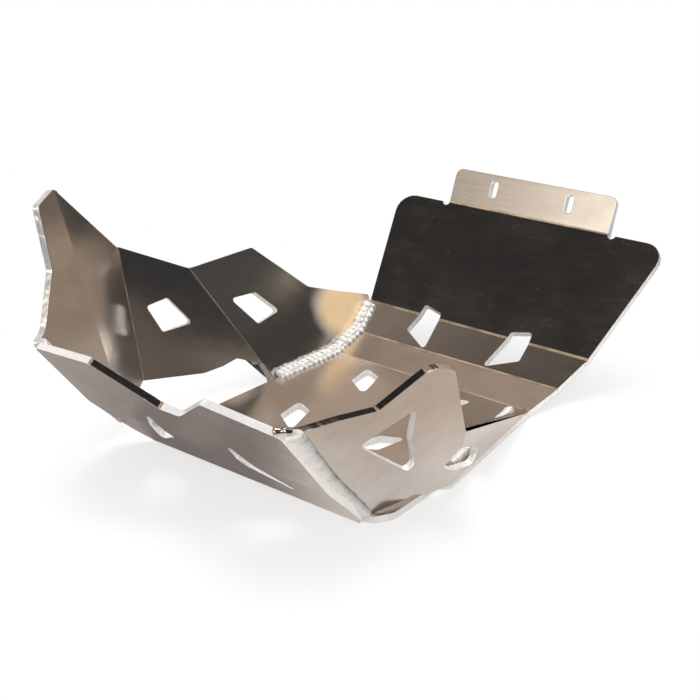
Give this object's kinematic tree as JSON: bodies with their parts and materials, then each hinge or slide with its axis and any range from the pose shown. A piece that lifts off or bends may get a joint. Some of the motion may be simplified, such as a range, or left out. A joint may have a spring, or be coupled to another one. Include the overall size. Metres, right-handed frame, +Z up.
{
  "type": "motorcycle skid plate",
  "caption": "folded aluminium sheet pan with a sloped end plate, raised panel and bolting flange, and two welded side wings with cut-outs",
  "frame": {"origin": "centre of the floor's underside", "axes": "+X along the plate towards the bolting flange, +Y across it towards the taller wing, +Z up"},
  "size_m": [0.426, 0.2947, 0.1779],
  "materials": {
    "sheet": "mill-finish aluminium sheet, semi-bright, with faint grain and scratches",
    "weld": "bright rippled weld bead"
  },
  "bodies": {
    "root": {"skid_pan": "sheet", "left_wing": "sheet", "right_wing": "sheet", "left_floor_weld": "weld", "right_floor_weld": "weld", "left_corner_weld": "weld", "right_corner_weld": "weld"}
  },
  "joints": []
}
